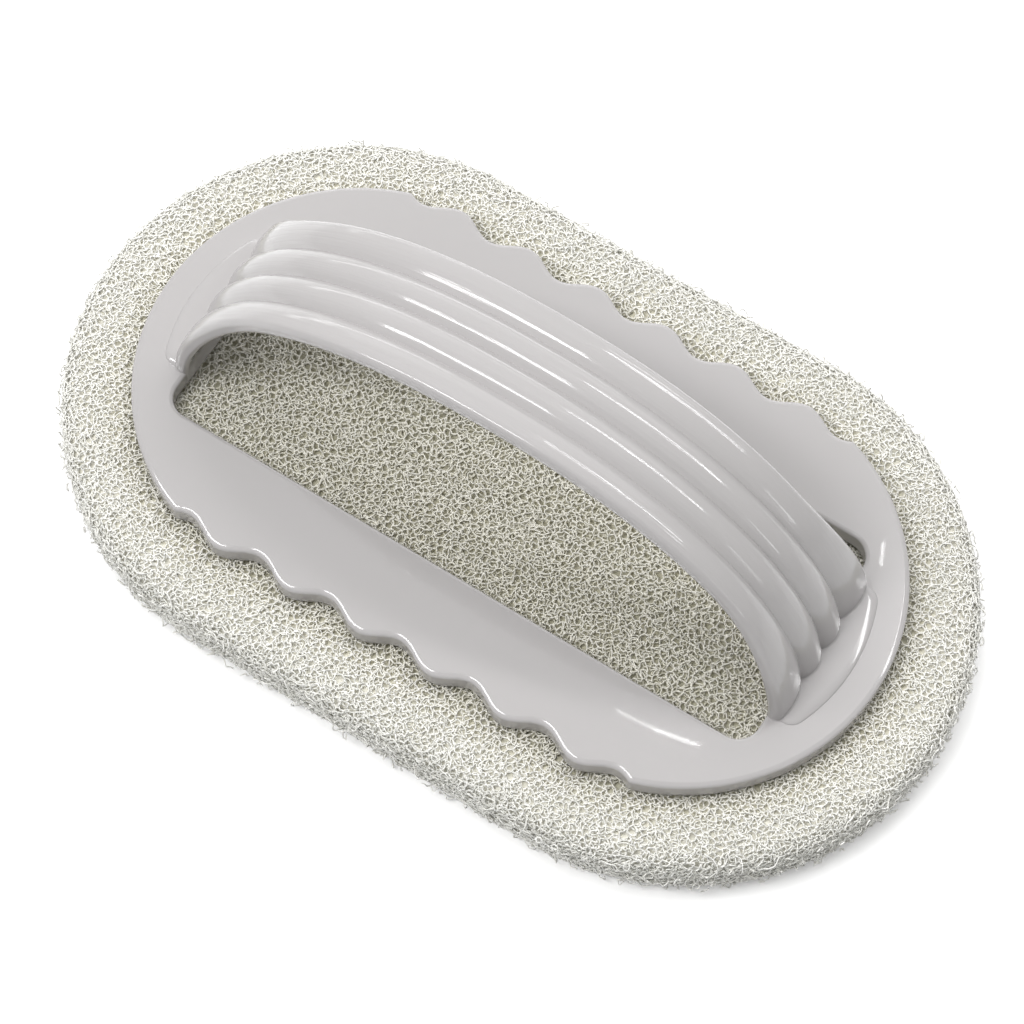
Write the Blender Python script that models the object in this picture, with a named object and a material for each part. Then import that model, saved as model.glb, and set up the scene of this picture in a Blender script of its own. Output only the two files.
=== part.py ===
# Handled scrub sponge: a thick pad of curly bonded fibres under a scalloped plate,
# which is moulded in one with an arched four-lobed grip and peels off the pad.
#
# Frame: +X along the length, +Y across, +Z up. The origin is at the middle of the pad's
# underside. Lengths are in metres. Names that end in share or shares have no unit.

import math

import bmesh
import bpy
from mathutils import Vector

mm = 0.001

# Gap between pieces that touch, and how far a cutter or a joined shape runs on
touch_gap = 0.3 * mm
overrun = 1.0 * mm

# Fibre pad
pad_length = 150.0 * mm
pad_width = 90.0 * mm
pad_thickness = 11.0 * mm
pad_edge_radius = 3.0 * mm

# Plate, set in from the pad's edge
plate_end_inset = 11.6 * mm
plate_side_inset = 10.7 * mm
plate_thickness = 3.5 * mm
plate_end_ease = 0.3 * mm
plate_edge_radius = 1.1 * mm

# Scallops along the plate's long sides
scallop_pitch = 12.6 * mm
scallop_depth = 2.3 * mm
scallop_count = 6

# Window through the plate, under the grip, with a rail of the plate on each long side
rail_width = 15.45 * mm
window_corner_radius = 3.6 * mm
window_edge_radius = 0.8 * mm

# Arched grip: outer size above the plate, then its lobed section
foot_end_inset = 9.1 * mm
grip_height = 37.0 * mm
grip_thickness = 2.8 * mm
grip_width = 20.7 * mm
foot_width = 26.2 * mm
foot_overhang = 0.2 * mm
lobe_depth = 1.15 * mm
lobe_overreach = 1.2 * mm
inner_lobe_width = 5.2 * mm
inner_lobe_foot_width = 5.6 * mm
shoulder_radius = 1.2 * mm
grip_edge_radius = 0.8 * mm
grip_rise_share = 2.25
grip_flat_share = 1.75
flare_start_share = 0.75

# Raised crescent outside each foot
land_inset = 4.6 * mm
land_side_inset = 0.3 * mm
land_corner_radius = 2.5 * mm
land_height = 0.7 * mm
land_edge_radius = 0.45 * mm

# Hook tape under the plate
tape_thickness = 1.5 * mm
tape_margin = 2.0 * mm
tape_corner_radius = 1.0 * mm
side_tape_length = 78.0 * mm
end_tape_length = 24.0 * mm

# How finely round shapes are divided
edge_steps = 3
corner_steps = 6
end_steps = 24
scallop_steps = 12
lobe_steps = 6
shoulder_steps = 4
grip_stations = 61
land_steps = 12
profile_samples = 400

# Heights and half sizes that follow from the sizes above
plate_underside = pad_thickness + touch_gap
plate_half_length = pad_length / 2 - plate_end_inset
plate_half_width = pad_width / 2 - plate_side_inset
plate_end_radius = plate_half_width + plate_end_ease
plate_end_center = plate_half_length - plate_end_radius
foot_half_span = plate_half_length - foot_end_inset
foot_inner_x = foot_half_span - grip_thickness
window_half_length = foot_inner_x + foot_overhang
window_half_width = plate_half_width - rail_width
flare_start = foot_half_span * flare_start_share
notch_half_width = plate_half_width - scallop_depth


def clear_scene():
    for old in list(bpy.data.objects):
        bpy.data.objects.remove(old, do_unlink=True)


def make_material(name, color, roughness, metallic=0.0):
    material = bpy.data.materials.new(name)
    material.use_nodes = True
    shader = material.node_tree.nodes["Principled BSDF"]
    shader.inputs["Base Color"].default_value = (*color, 1.0)
    shader.inputs["Roughness"].default_value = roughness
    shader.inputs["Metallic"].default_value = metallic
    return material


def add_object(name, bm, material, location=(0, 0, 0), parent=None, sharp_angle=35):
    bmesh.ops.recalc_face_normals(bm, faces=bm.faces)
    mesh = bpy.data.meshes.new(name)
    bm.to_mesh(mesh)
    bm.free()
    mesh.materials.append(material)
    mesh.shade_smooth()
    mesh.set_sharp_from_angle(angle=math.radians(sharp_angle))
    obj = bpy.data.objects.new(name, mesh)
    bpy.context.scene.collection.objects.link(obj)
    obj.location = location
    obj.parent = parent
    return obj


def make_helper(obj):
    # A cutter or a shape to join: it shows as wire and isn't a piece of its own
    obj.hide_render = True
    obj.display_type = "WIRE"


def combine(obj, helper, operation):
    modifier = obj.modifiers.new(helper.name, "BOOLEAN")
    modifier.object = helper
    modifier.operation = operation
    modifier.solver = "EXACT"
    make_helper(helper)


def inset_outline(points, distance):
    # The outline moved inwards by a distance. The points run anticlockwise.
    count = len(points)
    moved = []
    for i, point in enumerate(points):
        along = points[(i + 1) % count] - points[i - 1]
        inward = Vector((-along.y, along.x)).normalized()
        moved.append(point + inward * distance)
    return moved


def rounded_rectangle(half_length, half_width, radius):
    points = []
    corners = ((1, -1, -90), (1, 1, 0), (-1, 1, 90), (-1, -1, 180))
    for side_x, side_y, start in corners:
        center = Vector((side_x * (half_length - radius), side_y * (half_width - radius)))
        for step in range(corner_steps + 1):
            angle = math.radians(start + 90 * step / corner_steps)
            points.append(center + Vector((math.cos(angle), math.sin(angle))) * radius)
    return points


def stadium(half_length, half_width):
    points = []
    for side, start in ((1, -90), (-1, 90)):
        center = Vector((side * (half_length - half_width), 0))
        for step in range(end_steps + 1):
            angle = math.radians(start + 180 * step / end_steps)
            points.append(center + Vector((math.cos(angle), math.sin(angle))) * half_width)
    return points


def plate_outline():
    # Round ends, and long sides that wave in and out once a pitch, with a notch at x = 0
    wave_end = (scallop_count / 2 + 0.25) * scallop_pitch
    steps = round(wave_end / scallop_pitch * scallop_steps)

    def half_width_at(x):
        wave = notch_half_width + scallop_depth * math.sin(math.pi * x / scallop_pitch) ** 2
        reach = abs(x) - plate_end_center
        if reach <= 0:
            return wave
        return min(wave, math.sqrt(max(plate_end_radius**2 - reach**2, 0)))

    side = []
    for step in range(-steps, steps + 1):
        x = wave_end * step / steps
        side.append(Vector((x, half_width_at(x))))
    last_angle = math.atan2(side[-1].y, side[-1].x - plate_end_center)
    end = []
    for step in range(1, end_steps):
        angle = -last_angle + 2 * last_angle * step / end_steps
        arc = Vector((math.cos(angle), math.sin(angle))) * plate_end_radius
        end.append(Vector((plate_end_center, 0)) + arc)
    near_side = [Vector((point.x, -point.y)) for point in side]
    far_side = side[::-1]
    far_end = [-point for point in end]
    return near_side + end + far_side + far_end


def add_ring(bm, points, z):
    return [bm.verts.new((point.x, point.y, z)) for point in points]


def join_rings(bm, lower, upper):
    count = len(lower)
    for i in range(count):
        j = (i + 1) % count
        bm.faces.new((lower[i], lower[j], upper[j], upper[i]))


def edge_profile(radius, rounded):
    # Inset and drop of each ring of an edge, from the wall up to the flat face
    if not rounded:
        return [(0, 0)]
    steps = [math.radians(90 * step / edge_steps) for step in range(edge_steps + 1)]
    return [(radius * (1 - math.cos(a)), radius * (1 - math.sin(a))) for a in steps]


def add_wall(bm, outline, bottom, top, radius, round_bottom=False):
    # The wall of a slab, with its top edge and, if asked, its bottom edge rounded
    rings = []
    for inset, drop in reversed(edge_profile(radius, round_bottom)):
        rings.append(add_ring(bm, inset_outline(outline, inset), bottom + drop))
    for inset, drop in edge_profile(radius, True):
        rings.append(add_ring(bm, inset_outline(outline, inset), top - drop))
    for lower, upper in zip(rings, rings[1:]):
        join_rings(bm, lower, upper)
    return rings[0], rings[-1]


def slab(outline, bottom, top, radius, round_bottom=False):
    bm = bmesh.new()
    low_ring, high_ring = add_wall(bm, outline, bottom, top, radius, round_bottom)
    bm.faces.new(low_ring[::-1])
    bm.faces.new(high_ring)
    return bm


def plain_prism(outline, bottom, top):
    bm = bmesh.new()
    low_ring = add_ring(bm, outline, bottom)
    high_ring = add_ring(bm, outline, top)
    join_rings(bm, low_ring, high_ring)
    bm.faces.new(low_ring[::-1])
    bm.faces.new(high_ring)
    return bm


def ring_edges(ring):
    edges = []
    for i, vert in enumerate(ring):
        following = ring[(i + 1) % len(ring)]
        edges.append(next(e for e in vert.link_edges if e.other_vert(vert) is following))
    return edges


def plate_mesh():
    # A slab with a window: outer wall, window wall, and the two faces between them
    bm = bmesh.new()
    outer = add_wall(bm, plate_outline(), 0, plate_thickness, plate_edge_radius)
    window = rounded_rectangle(window_half_length, window_half_width, window_corner_radius)
    inner = add_wall(bm, window[::-1], 0, plate_thickness, window_edge_radius)
    for outer_ring, inner_ring in zip(outer, inner):
        edges = ring_edges(outer_ring) + ring_edges(inner_ring)
        bmesh.ops.triangle_fill(bm, edges=edges, use_beauty=True)
    return bm


def grip_profile():
    # Stations along the crest of the arch, evenly spaced: (x, height, outward direction).
    # The arch stands upright at its feet, where it runs on down into the plate.
    raw = []
    for sample in range(profile_samples + 1):
        angle = math.pi * (sample / profile_samples - 0.5)
        x = foot_half_span * abs(math.sin(angle)) ** (2 / grip_rise_share)
        z = grip_height * max(math.cos(angle), 0) ** (2 / grip_flat_share)
        raw.append(Vector((math.copysign(x, angle), z)))
    sink = Vector((0, -(plate_thickness - overrun)))
    raw = [raw[0] + sink] + raw + [raw[-1] + sink]
    lengths = [0]
    for start, end in zip(raw, raw[1:]):
        lengths.append(lengths[-1] + (end - start).length)
    stations = []
    index = 0
    for station in range(grip_stations):
        target = lengths[-1] * station / (grip_stations - 1)
        while index < len(raw) - 2 and lengths[index + 1] < target:
            index += 1
        step = raw[index + 1] - raw[index]
        share = (target - lengths[index]) / step.length
        outward = Vector((-step.y, step.x)).normalized()
        stations.append((raw[index] + step * share, outward))
    return stations


def lobe_arc(low, high, end):
    # Points across one lobe, from its low edge as far as the end: (across, depth)
    middle = (low + high) / 2
    half = (high - low) / 2
    radius = (half**2 + lobe_depth**2) / (2 * lobe_depth)
    points = []
    for step in range(lobe_steps + 1):
        across = low + (end - low) * step / lobe_steps
        points.append((across, math.sqrt(radius**2 - (across - middle) ** 2) - radius))
    return points


def grip_section(x):
    # The band's section at a station: four lobes on the outside, a plain underside.
    # The outer lobes run nearly level up to a rounded shoulder.
    flare = max(0, min(1, (abs(x) - flare_start) / (foot_half_span - flare_start))) ** 2
    half = (grip_width + (foot_width - grip_width) * flare) / 2
    groove = inner_lobe_width + (inner_lobe_foot_width - inner_lobe_width) * flare
    side = lobe_arc(groove, half + lobe_overreach, half - shoulder_radius)
    shoulder_top = side[-1][1]
    for step in range(1, shoulder_steps + 1):
        angle = math.radians(90 * step / shoulder_steps)
        across = half - shoulder_radius * (1 - math.sin(angle))
        side.append((across, shoulder_top - shoulder_radius * (1 - math.cos(angle))))
    for step in range(edge_steps + 1):
        angle = math.radians(90 * step / edge_steps)
        across = half - grip_edge_radius * (1 - math.cos(angle))
        side.append((across, -grip_thickness + grip_edge_radius * (1 - math.sin(angle))))
    other_side = [(-across, depth) for across, depth in side[::-1]]
    inner_lobes = lobe_arc(-groove, 0, 0)[1:] + lobe_arc(0, groove, groove)[1:-1]
    return other_side + inner_lobes + side


def grip_mesh():
    bm = bmesh.new()
    rings = []
    for place, outward in grip_profile():
        ring = []
        for across, depth in grip_section(place.x):
            spot = place + outward * depth
            ring.append(bm.verts.new((spot.x, across, spot.y)))
        rings.append(ring)
    for lower, upper in zip(rings, rings[1:]):
        join_rings(bm, lower, upper)
    bm.faces.new(rings[0][::-1])
    bm.faces.new(rings[-1])
    return bm


def land_outline(side):
    # A crescent outside one foot. Its edge follows the plate's round end, turns in at
    # two rounded corners, and closes along a chord inside the foot.
    radius = plate_end_radius - land_inset
    half_chord = foot_width / 2 - land_side_inset
    corner_y = half_chord - land_corner_radius
    corner_reach = math.sqrt((radius - land_corner_radius) ** 2 - corner_y**2)
    spread = math.atan2(corner_y, corner_reach)
    half_edge = []
    for step in range(land_steps + 1):
        angle = spread * step / land_steps
        arc = Vector((math.cos(angle), math.sin(angle))) * radius
        half_edge.append(Vector((plate_end_center, 0)) + arc)
    corner = Vector((plate_end_center + corner_reach, corner_y))
    for step in range(1, corner_steps + 1):
        angle = spread + (math.pi / 2 - spread) * step / corner_steps
        arc = Vector((math.cos(angle), math.sin(angle))) * land_corner_radius
        half_edge.append(corner + arc)
    half_edge.append(Vector((foot_inner_x + 2 * land_edge_radius, half_chord)))
    near_edge = [Vector((point.x, -point.y)) for point in half_edge[:0:-1]]
    points = near_edge + half_edge
    if side < 0:
        points = [-point for point in points]
    return points


def tape_places():
    # Name, centre, half length along X and half width along Y of each tape.
    # The side tapes lie between the window and the notches, the end tapes between the
    # window and the plate's round ends.
    side_low = window_half_width + tape_margin
    side_high = notch_half_width - plate_edge_radius - tape_margin / 2
    end_low = window_half_length + tape_margin
    corner_reach = math.sqrt(plate_end_radius**2 - (end_tape_length / 2) ** 2)
    end_high = plate_end_center + corner_reach - tape_margin / 2
    side_y = (side_low + side_high) / 2
    side_half = (side_high - side_low) / 2
    end_x = (end_low + end_high) / 2
    end_half = (end_high - end_low) / 2
    return (
        ("hook_tape_left_side", (0, side_y), side_tape_length / 2, side_half),
        ("hook_tape_right_side", (0, -side_y), side_tape_length / 2, side_half),
        ("hook_tape_front_end", (end_x, 0), end_half, end_tape_length / 2),
        ("hook_tape_back_end", (-end_x, 0), end_half, end_tape_length / 2),
    )


def build_handle(parent, material):
    moulding = add_object("handle_moulding", plate_mesh(), material, parent=parent)
    grip = grip_mesh()
    bmesh.ops.translate(grip, verts=grip.verts, vec=(0, 0, plate_thickness))
    combine(moulding, add_object("grip_shape", grip, material, parent=parent), "UNION")
    for side, name in ((1, "front_land_shape"), (-1, "back_land_shape")):
        low = plate_thickness - overrun
        high = plate_thickness + land_height
        land = slab(land_outline(side), low, high, land_edge_radius)
        combine(moulding, add_object(name, land, material, parent=parent), "UNION")
    return moulding


def build_tapes(parent, material):
    top = -touch_gap
    for name, center, half_length, half_width in tape_places():
        outline = rounded_rectangle(half_length, half_width, tape_corner_radius)
        tape = plain_prism(outline, top - tape_thickness, top)
        bmesh.ops.translate(tape, verts=tape.verts, vec=(*center, 0))
        add_object(name, tape, material, parent=parent)


def build_pad(material):
    outline = stadium(pad_length / 2, pad_width / 2)
    pad = add_object(
        "scrub_pad", slab(outline, 0, pad_thickness, pad_edge_radius, True), material
    )
    # The hooks sink into the fibres, so each tape has a shallow pocket in the solid
    floor = pad_thickness - tape_thickness - touch_gap
    for name, center, half_length, half_width in tape_places():
        outline = rounded_rectangle(
            half_length + touch_gap, half_width + touch_gap, tape_corner_radius + touch_gap
        )
        pocket = plain_prism(outline, floor, pad_thickness + overrun)
        bmesh.ops.translate(pocket, verts=pocket.verts, vec=(*center, 0))
        combine(pad, add_object(name + "_pocket", pocket, material), "DIFFERENCE")


def main():
    clear_scene()
    moulded_plastic = make_material("moulded_plastic", (0.60, 0.585, 0.58), 0.22)
    fibre_web = make_material("fibre_web", (0.80, 0.78, 0.70), 0.85)
    hook_fabric = make_material("hook_fabric", (0.75, 0.74, 0.71), 0.60)
    # The handle and its tapes lift straight off the pad along this empty's Z axis
    lift_axis = bpy.data.objects.new("lift_axis", None)
    bpy.context.scene.collection.objects.link(lift_axis)
    lift_axis.location = (0, 0, plate_underside)
    build_pad(fibre_web)
    build_handle(lift_axis, moulded_plastic)
    build_tapes(lift_axis, hook_fabric)


main()
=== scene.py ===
# Handled scrub sponge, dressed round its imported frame. Lengths are in metres.
import math
import random

import bmesh
import bpy
from mathutils import Euler, Matrix, Vector
from mathutils.geometry import delaunay_2d_cdt


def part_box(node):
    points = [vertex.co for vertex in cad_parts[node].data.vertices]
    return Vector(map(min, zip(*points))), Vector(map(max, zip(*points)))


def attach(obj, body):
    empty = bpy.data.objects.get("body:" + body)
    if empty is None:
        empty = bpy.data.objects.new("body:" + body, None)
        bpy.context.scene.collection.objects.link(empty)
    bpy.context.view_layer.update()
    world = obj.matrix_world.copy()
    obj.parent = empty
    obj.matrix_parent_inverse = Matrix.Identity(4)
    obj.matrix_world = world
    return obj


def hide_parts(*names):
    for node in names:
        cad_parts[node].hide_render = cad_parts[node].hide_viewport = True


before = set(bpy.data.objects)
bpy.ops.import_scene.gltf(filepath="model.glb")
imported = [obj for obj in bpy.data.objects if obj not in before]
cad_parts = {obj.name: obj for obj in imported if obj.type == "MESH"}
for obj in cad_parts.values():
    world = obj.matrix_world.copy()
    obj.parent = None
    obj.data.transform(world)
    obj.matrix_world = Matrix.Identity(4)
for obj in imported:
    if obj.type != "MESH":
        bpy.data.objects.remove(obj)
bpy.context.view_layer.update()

mm = 0.001


# Nodes and shader maths

class Wire:
    # One output socket. Maths on it adds Math nodes.
    def __init__(self, maker, socket):
        self.maker = maker
        self.socket = socket

    def combine(self, operation, first, second=0.0):
        return self.maker.node("ShaderNodeMath", {"operation": operation}, {0: first, 1: second})

    def __add__(self, other):
        return self.combine("ADD", self, other)

    def __radd__(self, other):
        return self.combine("ADD", other, self)

    def __sub__(self, other):
        return self.combine("SUBTRACT", self, other)

    def __rsub__(self, other):
        return self.combine("SUBTRACT", other, self)

    def __mul__(self, other):
        return self.combine("MULTIPLY", self, other)

    def __rmul__(self, other):
        return self.combine("MULTIPLY", other, self)

    def __truediv__(self, other):
        return self.combine("DIVIDE", self, other)

    def sine(self):
        return self.combine("SINE", self)

    def cosine(self):
        return self.combine("COSINE", self)

    def absolute(self):
        return self.combine("ABSOLUTE", self)

    def maximum(self, other):
        return self.combine("MAXIMUM", self, other)

    def modulo(self, other):
        return self.combine("MODULO", self, other)

    def over(self, limit):
        # 1 where it is more than the limit, 0 elsewhere
        return self.combine("GREATER_THAN", self, limit)


class Maker:
    # Adds nodes to one tree
    def __init__(self, tree):
        self.tree = tree

    def node(self, kind, settings=None, sockets=None, out=0):
        made = self.tree.nodes.new(kind)
        for name, value in (settings or {}).items():
            if name == "stops":
                self.setStops(made.color_ramp, value)
            else:
                setattr(made, name, value)
        for name, value in (sockets or {}).items():
            self.feed(made.inputs[name], value)
        return Wire(self, made.outputs[out]) if len(made.outputs) else made

    def setStops(self, ramp, stops):
        for place, color in stops[2:]:
            ramp.elements.new(place)
        for element, (place, color) in zip(ramp.elements, stops):
            element.position = place
            element.color = (*color, 1.0)

    def feed(self, socket, value):
        if isinstance(value, Wire):
            self.tree.links.new(value.socket, socket)
        else:
            socket.default_value = value

    def other(self, wire, out):
        return Wire(self, wire.socket.node.outputs[out])

    def vector(self, operation, first, second=(0, 0, 0)):
        return self.node("ShaderNodeVectorMath", {"operation": operation}, {0: first, 1: second})

    def scaled(self, vector, scale):
        return self.node(
            "ShaderNodeVectorMath", {"operation": "SCALE"}, {"Vector": vector, "Scale": scale}
        )

    def combined(self, x=0.0, y=0.0, z=0.0):
        return self.node("ShaderNodeCombineXYZ", None, {0: x, 1: y, 2: z})

    def parts(self, vector):
        split = self.node("ShaderNodeSeparateXYZ", None, {0: vector})
        return split, self.other(split, "Y"), self.other(split, "Z")

    def mixed(self, factor, first, second, blend="MIX"):
        # Sockets 6 and 7 of the Mix node are its colors, and output 2 their mixture
        settings = {"data_type": "RGBA", "blend_type": blend}
        return self.node("ShaderNodeMix", settings, {"Factor": factor, 6: first, 7: second}, out=2)

    def mapped(self, value, low, high, atLow=0.0, atHigh=1.0):
        sockets = {"Value": value, "From Min": low, "From Max": high, "To Min": atLow, "To Max": atHigh}
        return self.node("ShaderNodeMapRange", None, sockets)

    def noise(self, place, scale, detail=2.0, out=0):
        sockets = {"Vector": place, "Scale": scale, "Detail": detail}
        return self.node("ShaderNodeTexNoise", None, sockets, out=out)

    def chance(self, low, high, number, draw):
        # Sockets 2 and 3 of the Random Value node are its range, 7 its ID and 8 its seed
        sockets = {2: low, 3: high, 7: number, 8: draw}
        return self.node("FunctionNodeRandomValue", {"data_type": "FLOAT"}, sockets, out=1)


def startMaterial(name):
    material = bpy.data.materials.new(name)
    material.use_nodes = True
    return material, Maker(material.node_tree), material.node_tree.nodes["Principled BSDF"].inputs


# Camera, light and floor

stage = {
    "cameraPlace": (0.108, -0.1826, 0.4696),
    "cameraTurn": (24.35, -0.74, 32.36),
    "lens": 116.6,
    "nearClip": 1.0 * mm,
    "roomLight": 0.13,
    "floorSize": 3.0,
    "floorColor": (0.97, 0.97, 0.97),
    "floorBounce": (0.80, 0.80, 0.80),
    "floorGlow": 0.2,
}

# Boxes and strips, and three tiny lamps for the bright strokes that the plate reflects
softboxes = (
    # name, place, direction of the long side, length, width, power, shows in reflections
    ("farStrip", (0.325, 0.43, 0.79), (0.95, 0.0, -0.31), 0.76, 0.07, 2.4, True),
    ("nearStrip", (-0.375, -0.37, 0.80), (0.925, -0.03, 0.38), 0.66, 0.12, 3.9, True),
    ("backStrip", (-0.60, 1.0, 0.22), (1.0, 0.0, 0.0), 1.4, 0.12, 1.6, True),
    ("rightStrip", (0.86, -0.26, 0.34), (0.0, 0.0, 1.0), 0.3, 0.08, 0.3, True),
    ("farWall", (-0.25, 1.0, 0.62), (1.0, 0.0, 0.0), 1.6, 0.45, 1.4, True),
    ("wideTop", (-0.16, 0.10, 1.05), (1.0, 0.0, 0.0), 1.2, 1.2, 4.2, False),
    ("keyTop", (-0.22, 0.12, 1.07), (1.0, 0.0, 0.0), 0.5, 0.5, 3.1, False),
    ("farBox", (-0.15, 0.62, 0.74), (1.0, 0.3, 0.0), 0.7, 0.5, 0.8, False),
    ("nearBox", (-0.25, -0.55, 0.80), (1.0, -0.4, 0.0), 0.6, 0.6, 1.3, False),
    ("nearGlint", (-0.1035, 0.2848, 0.9), (1.0, 0.068, 0.0), 0.0195, 0.0006, 0.0018, True),
    ("nearGlintEnd", (-0.0852, 0.2874, 0.9), (1.0, 0.21, 0.0), 0.0212, 0.0010, 0.0038, True),
    ("farGlint", (-0.0535, 0.4100, 0.9), (0.37, -0.91, 0.0), 0.0098, 0.0012, 0.0018, True),
)


def addCamera():
    data = bpy.data.cameras.new("camera")
    data.lens = stage["lens"]
    data.clip_start = stage["nearClip"]
    camera = bpy.data.objects.new("camera", data)
    camera.location = stage["cameraPlace"]
    camera.rotation_euler = Euler([math.radians(turn) for turn in stage["cameraTurn"]])
    bpy.context.scene.collection.objects.link(camera)
    bpy.context.scene.camera = camera


def addSoftboxes():
    for name, place, along, length, width, power, shows in softboxes:
        data = bpy.data.lights.new(name, "AREA")
        data.shape = "RECTANGLE"
        data.size = length
        data.size_y = width
        data.energy = power
        light = bpy.data.objects.new(name, data)
        back = Vector(place).normalized()
        side = (Vector(along) - back * back.dot(Vector(along))).normalized()
        turn = Matrix((side, back.cross(side), back)).transposed()
        light.matrix_world = Matrix.Translation(place) @ turn.to_4x4()
        light.visible_glossy = shows
        bpy.context.scene.collection.objects.link(light)


def whiteRays(make):
    # 1 for rays that meet the backdrop straight, in gloss or through glass
    camera = make.node("ShaderNodeLightPath", out="Is Camera Ray")
    seen = camera.maximum(make.other(camera, "Is Glossy Ray"))
    return seen.maximum(make.other(camera, "Is Transmission Ray"))


def addRoom():
    world = bpy.data.worlds.new("room")
    world.use_nodes = True
    bpy.context.scene.world = world
    tree = world.node_tree
    make = Maker(tree)
    background = tree.nodes["Background"]
    make.feed(background.inputs["Color"], (1.0, 1.0, 1.0, 1.0))
    dim = stage["roomLight"]
    make.feed(background.inputs["Strength"], dim + whiteRays(make) * (1 - dim))


def addFloor():
    half = stage["floorSize"] / 2
    bm = bmesh.new()
    corners = ((-half, -half), (half, -half), (half, half), (-half, half))
    bm.faces.new([bm.verts.new((x, y, 0)) for x, y in corners])
    mesh = bpy.data.meshes.new("floor")
    bm.to_mesh(mesh)
    bm.free()
    floor = bpy.data.objects.new("floor", mesh)
    bpy.context.scene.collection.objects.link(floor)
    material, make, _ = startMaterial("paleFloor")
    # What the camera sees is white with the shadow on it, and what lights the object is plainer
    seen = make.node("ShaderNodeBsdfDiffuse", None, {"Color": (*stage["floorColor"], 1.0)})
    bounce = make.node("ShaderNodeBsdfDiffuse", None, {"Color": (*stage["floorBounce"], 1.0)})
    glow = make.node("ShaderNodeEmission", None, {"Color": (1, 1, 1, 1), "Strength": stage["floorGlow"]})
    white = make.node("ShaderNodeAddShader", None, {0: seen, 1: glow})
    shown = make.node("ShaderNodeMixShader", None, {0: whiteRays(make), 1: bounce, 2: white})
    make.feed(make.tree.nodes["Material Output"].inputs["Surface"], shown)
    mesh.materials.append(material)


bpy.context.scene.view_settings.view_transform = "Standard"
addCamera()
addSoftboxes()
addRoom()
addFloor()
print("stage done")


# Shapes shared by the pieces

def addPiece(name, bm, *materials):
    mesh = bpy.data.meshes.new(name)
    bm.to_mesh(mesh)
    bm.free()
    for material in materials:
        mesh.materials.append(material)
    piece = bpy.data.objects.new(name, mesh)
    bpy.context.scene.collection.objects.link(piece)
    return piece


def insetOutline(points, distance):
    # The outline moved inwards. The points run anticlockwise.
    count = len(points)
    moved = []
    for i, point in enumerate(points):
        along = points[(i + 1) % count] - points[i - 1]
        moved.append(point + Vector((-along.y, along.x)).normalized() * distance)
    return moved


def arcPoints(center, radius, start, end, steps):
    points = []
    for step in range(steps + 1):
        angle = start + (end - start) * step / steps
        points.append(center + Vector((math.cos(angle), math.sin(angle))) * radius)
    return points


def roundedRectangle(halfLength, halfWidth, radius, steps):
    points = []
    for sideX, sideY, start in ((1, -1, -90), (1, 1, 0), (-1, 1, 90), (-1, -1, 180)):
        center = Vector((sideX * (halfLength - radius), sideY * (halfWidth - radius)))
        low = math.radians(start)
        points += arcPoints(center, radius, low, low + math.pi / 2, steps)
    return points


def stadium(halfLength, halfWidth, steps):
    reach = Vector((halfLength - halfWidth, 0))
    quarter = math.pi / 2
    right = arcPoints(reach, halfWidth, -quarter, quarter, steps)
    left = arcPoints(-reach, halfWidth, quarter, 3 * quarter, steps)
    return right + left


def joinRings(bm, lower, upper):
    count = len(lower)
    for i in range(count):
        j = (i + 1) % count
        bm.faces.new((lower[i], lower[j], upper[j], upper[i]))


def addRings(bm, outline, levels):
    # One ring for each (inset, height), joined into a wall: the lowest and the highest ring
    rings = []
    for inset, z in levels:
        ring = insetOutline(outline, inset)
        rings.append([bm.verts.new((point.x, point.y, z)) for point in ring])
    for lower, upper in zip(rings, rings[1:]):
        joinRings(bm, lower, upper)
    return rings[0], rings[-1]


def quarterTurn(steps):
    return [math.pi / 2 * step / steps for step in range(steps + 1)]


def bendLevels(out, up, bends):
    # A profile that bends from slope to slope. Each bend: radius, slope at its start and end, steps.
    levels = []
    for radius, start, end, steps in bends:
        hollow = 1 if end > start else -1
        for i in range(1, steps + 1):
            before = start + (end - start) * (i - 1) / steps
            after = start + (end - start) * i / steps
            out += hollow * radius * (math.sin(after) - math.sin(before))
            up += hollow * radius * (math.cos(before) - math.cos(after))
            levels.append((out, up))
    return levels


def addWall(bm, outline, bottom, top, bottomRadius, topBends, steps):
    # The wall of a slab with both edges rounded. Each bend of the top edge: radius, slope it ends at.
    levels = []
    for angle in quarterTurn(steps):
        inset = bottomRadius * (1 - math.sin(angle))
        levels.append((inset, bottom + bottomRadius * (1 - math.cos(angle))))
    bends = []
    slope = math.pi / 2
    for radius, end in topBends:
        bends.append((radius, slope, math.radians(end), steps))
        slope = math.radians(end)
    rise = sum(radius * (math.cos(end) - math.cos(start)) for radius, start, end, _ in bends)
    levels.append((0.0, top - rise))
    return addRings(bm, outline, levels + bendLevels(0.0, top - rise, bends))


def slab(outline, bottom, top, radius, bottomRadius, steps):
    bm = bmesh.new()
    low, high = addWall(bm, outline, bottom, top, bottomRadius, ((radius, 0.0),), steps)
    bm.faces.new(low[::-1])
    bm.faces.new(high)
    return bm


# Handle moulding: plate, window, four-lobed grip and the raised lands at its feet

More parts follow.
